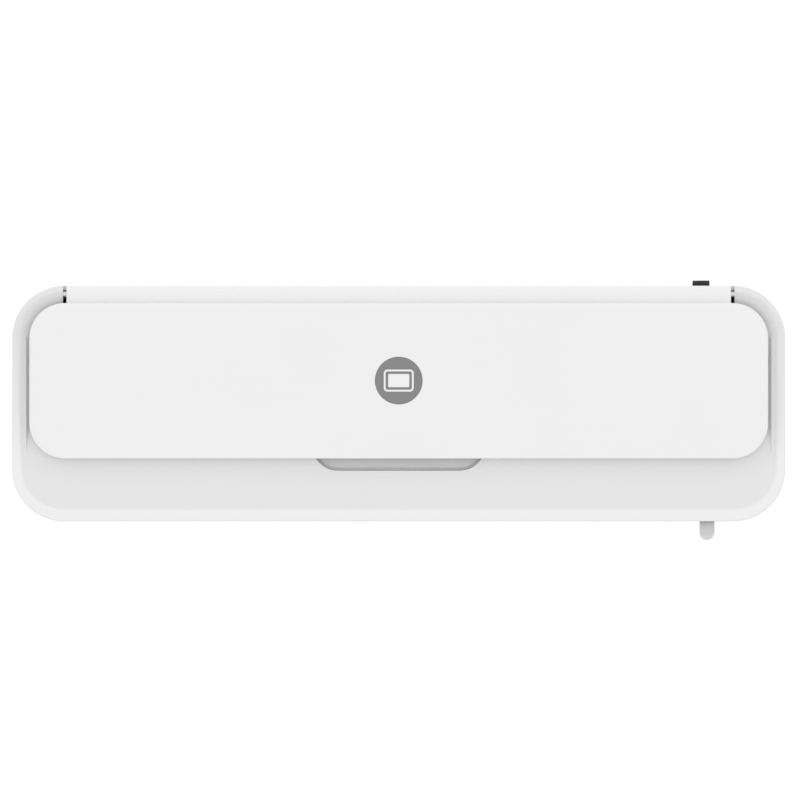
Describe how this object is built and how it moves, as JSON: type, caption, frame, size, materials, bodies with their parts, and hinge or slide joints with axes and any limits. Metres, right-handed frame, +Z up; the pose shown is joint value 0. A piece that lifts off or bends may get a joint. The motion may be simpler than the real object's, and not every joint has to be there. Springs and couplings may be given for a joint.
{
  "type": "pouch laminator",
  "caption": "Long low desktop pouch laminator with a rear-hinged lid that opens into a feed tray, a front exit slot, a release lever and a rear power rocker.",
  "frame": {"origin": "centre of the bounding box at its bottom, on the surface the feet stand on", "axes": "+X to the right along the long side, +Y to the rear, +Z up; the exit slot faces -Y"},
  "size_m": [0.49, 0.1648, 0.071],
  "materials": {
    "white_abs": "satin moulded",
    "deck_abs": "fine texture",
    "grey_plastic": "satin moulded",
    "emblem_grey": "satin print",
    "black_plastic": "satin moulded",
    "rubber": "matt",
    "silicone": "matt",
    "steel": "zinc plated",
    "aluminium": "extruded",
    "gear_plastic": "natural nylon",
    "mica": "mica sheet",
    "board": "solder resist",
    "clear_plastic": "clear moulded"
  },
  "bodies": {
    "housing": {"base_shell": "white_abs", "top_shell": "deck_abs", "finger_recess_insert": "grey_plastic", "hinge_pin_left": "steel", "hinge_pin_right": "steel", "side_frame_left": "steel", "side_frame_right": "steel", "tie_rod_front": "steel", "tie_rod_rear": "steel", "spring_keeper_left": "steel", "spring_keeper_right": "steel", "entry_guide": "black_plastic", "exit_guide": "black_plastic", "lower_heater_plate": "aluminium", "upper_heater_plate": "aluminium", "lower_heating_element": "mica", "upper_heating_element": "mica", "thermostat": "black_plastic", "thermal_fuse": "steel", "lower_bearing_left": "gear_plastic", "lower_bearing_right": "gear_plastic", "pressure_spring_left": "steel", "pressure_spring_right": "steel", "motor_bracket": "steel", "gear_motor": "steel", "rocker_bezel": "black_plastic", "power_light_pipe": "clear_plastic", "ready_light_pipe": "clear_plastic", "slide_switch_body": "black_plastic", "control_board": "board", "power_relay": "black_plastic", "cord_gland": "black_plastic", "rubber_foot_front_left": "rubber", "rubber_foot_front_right": "rubber", "rubber_foot_rear_left": "rubber", "rubber_foot_rear_right": "rubber", "housing_screw_front_left": "steel", "housing_screw_front_right": "steel", "housing_screw_rear_left": "steel", "housing_screw_rear_right": "steel"},
    "lid": {"lid_panel": "white_abs", "lid_liner": "white_abs", "lid_emblem": "emblem_grey"},
    "lower_roller": {"lower_roller_core": "steel", "lower_roller_sleeve": "silicone", "drive_gear": "gear_plastic", "lower_coupling_gear": "gear_plastic"},
    "upper_carriage": {"upper_bearing_left": "gear_plastic", "upper_bearing_right": "gear_plastic"},
    "upper_roller": {"upper_roller_core": "steel", "upper_roller_sleeve": "silicone", "upper_coupling_gear": "gear_plastic"},
    "motor_rotor": {"motor_pinion": "gear_plastic", "motor_output_shaft": "steel"},
    "release": {"release_shaft": "steel", "release_cam_left": "gear_plastic", "release_cam_right": "gear_plastic", "release_lever": "grey_plastic"},
    "power_rocker": {"rocker_button": "black_plastic"},
    "mode_knob": {"mode_slider": "grey_plastic"}
  },
  "joints": [
    {"name": "lid_hinge", "type": "hinge", "parent": "housing", "child": "lid", "pos_m": [0, 0.0734, 0.0586], "axis": [-1, 0, 0], "range_deg": [0, 155]},
    {"name": "lower_roller_spin", "type": "hinge", "parent": "housing", "child": "lower_roller", "pos_m": [0, -0.02248, 0.0262], "axis": [1, 0, 0], "continuous": true},
    {"name": "release_turn", "type": "hinge", "parent": "housing", "child": "release", "pos_m": [0.19545, -0.04437, 0.03725], "axis": [1, 0, 0], "range_deg": [0, 22]},
    {"name": "carriage_lift", "type": "slide", "parent": "housing", "child": "upper_carriage", "axis": [0, -0.2756, 0.9613], "range_m": [0, 0.0015], "deforming": ["pressure_spring_left", "pressure_spring_right"]},
    {"name": "upper_roller_spin", "type": "hinge", "parent": "upper_carriage", "child": "upper_roller", "pos_m": [0, -0.02752, 0.0438], "axis": [1, 0, 0], "continuous": true},
    {"name": "motor_spin", "type": "hinge", "parent": "housing", "child": "motor_rotor", "pos_m": [-0.196, 0.00457, 0.03345], "axis": [1, 0, 0], "continuous": true},
    {"name": "rocker_tilt", "type": "hinge", "parent": "housing", "child": "power_rocker", "pos_m": [0.1917, 0.07659, 0.04], "axis": [1, 0, 0], "range_deg": [0, 18]},
    {"name": "mode_slide", "type": "slide", "parent": "housing", "child": "mode_knob", "axis": [1, 0, 0], "range_m": [0, 0.0088]}
  ],
  "couplings": [
    {"joint": "upper_roller_spin", "follows": "lower_roller_spin", "ratio": -1},
    {"joint": "motor_spin", "follows": "lower_roller_spin", "ratio": -1.8},
    {"joint": "release_turn", "follows": "carriage_lift", "rad_per_m": 255.98}
  ]
}
